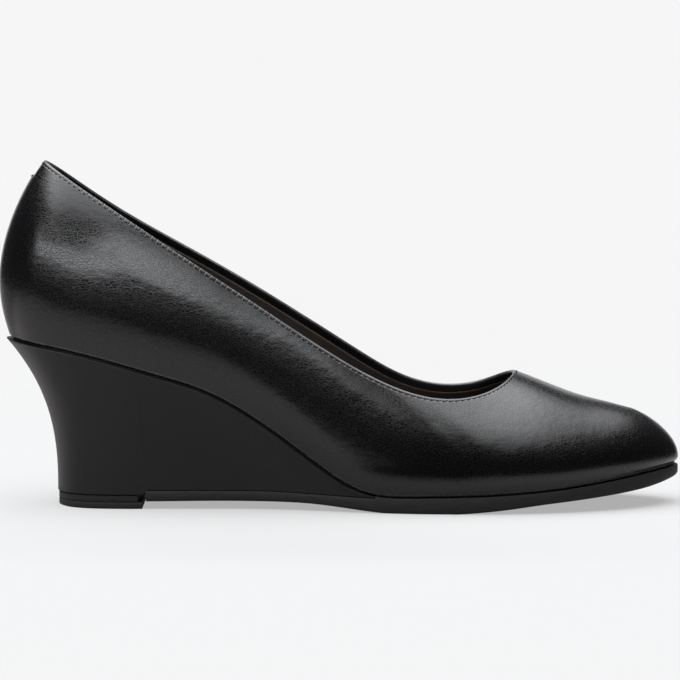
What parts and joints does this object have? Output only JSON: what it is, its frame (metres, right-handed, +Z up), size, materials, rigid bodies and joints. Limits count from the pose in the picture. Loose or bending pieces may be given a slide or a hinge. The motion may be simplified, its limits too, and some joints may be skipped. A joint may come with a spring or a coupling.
{
  "type": "wedge heel court shoe",
  "caption": "Slip-on leather court shoe for the right foot with a low rounded toe, a slanting open topline, a hollow-sided wedge heel, a thin sole and a separate heel piece.",
  "frame": {"origin": "on the floor, under the middle of the shoe's box", "axes": "+X from the heel to the toe, +Y to the inner side of the foot, +Z up"},
  "size_m": [0.2456, 0.0802, 0.1242],
  "materials": {
    "upper_leather": "smooth black leather with a fine grain and a soft sheen",
    "insole_leather": "dull dark brown lining leather",
    "wedge_covering": "plain smooth black covering, duller than the upper",
    "sole_rubber": "dull black, fine tread underneath",
    "lift_rubber": "dull black"
  },
  "bodies": {
    "root": {"upper": "upper_leather", "insole": "insole_leather", "wedge": "wedge_covering", "outsole": "sole_rubber", "heel_lift": "lift_rubber"}
  },
  "joints": []
}
